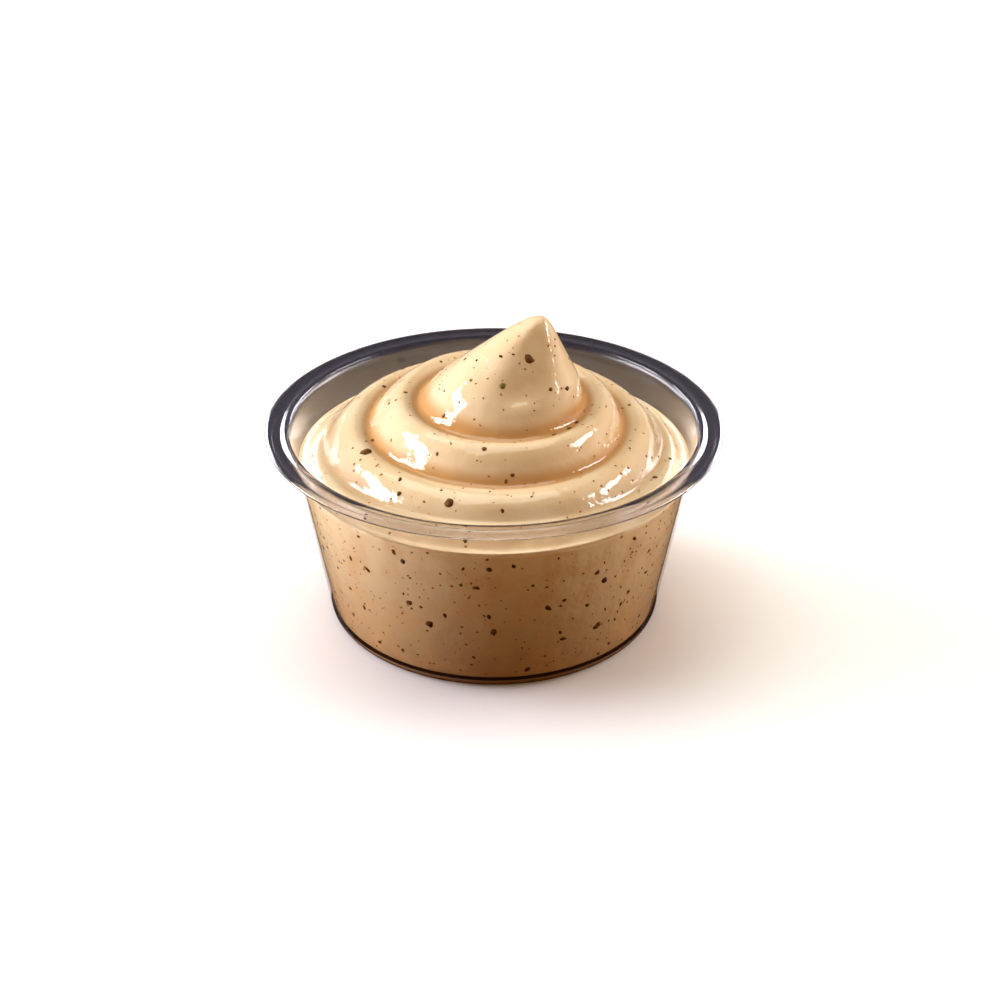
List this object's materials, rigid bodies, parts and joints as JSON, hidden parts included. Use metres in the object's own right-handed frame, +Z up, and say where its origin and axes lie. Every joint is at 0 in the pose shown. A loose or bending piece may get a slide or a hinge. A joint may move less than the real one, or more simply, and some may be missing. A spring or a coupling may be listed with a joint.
{
  "type": "portion cup of garlic mayonnaise",
  "caption": "Clear plastic portion cup with a flat flange, filled with speckled garlic mayonnaise piped in a swirl that ends in a leaning peak.",
  "frame": {"origin": "centre of the cup's foot, on the surface that it stands on", "axes": "+Z up through the cup's axis, +X to the picture's right, which is the way the peak leans, +Y away from the viewer"},
  "size_m": [0.066, 0.066, 0.0459],
  "materials": {
    "clear_plastic": "clear and glossy",
    "garlic_mayonnaise": "smooth, glossy emulsion with fine herb and spice flecks"
  },
  "bodies": {
    "root": {"portion_cup": "clear_plastic", "garlic_mayonnaise": "garlic_mayonnaise"}
  },
  "joints": []
}
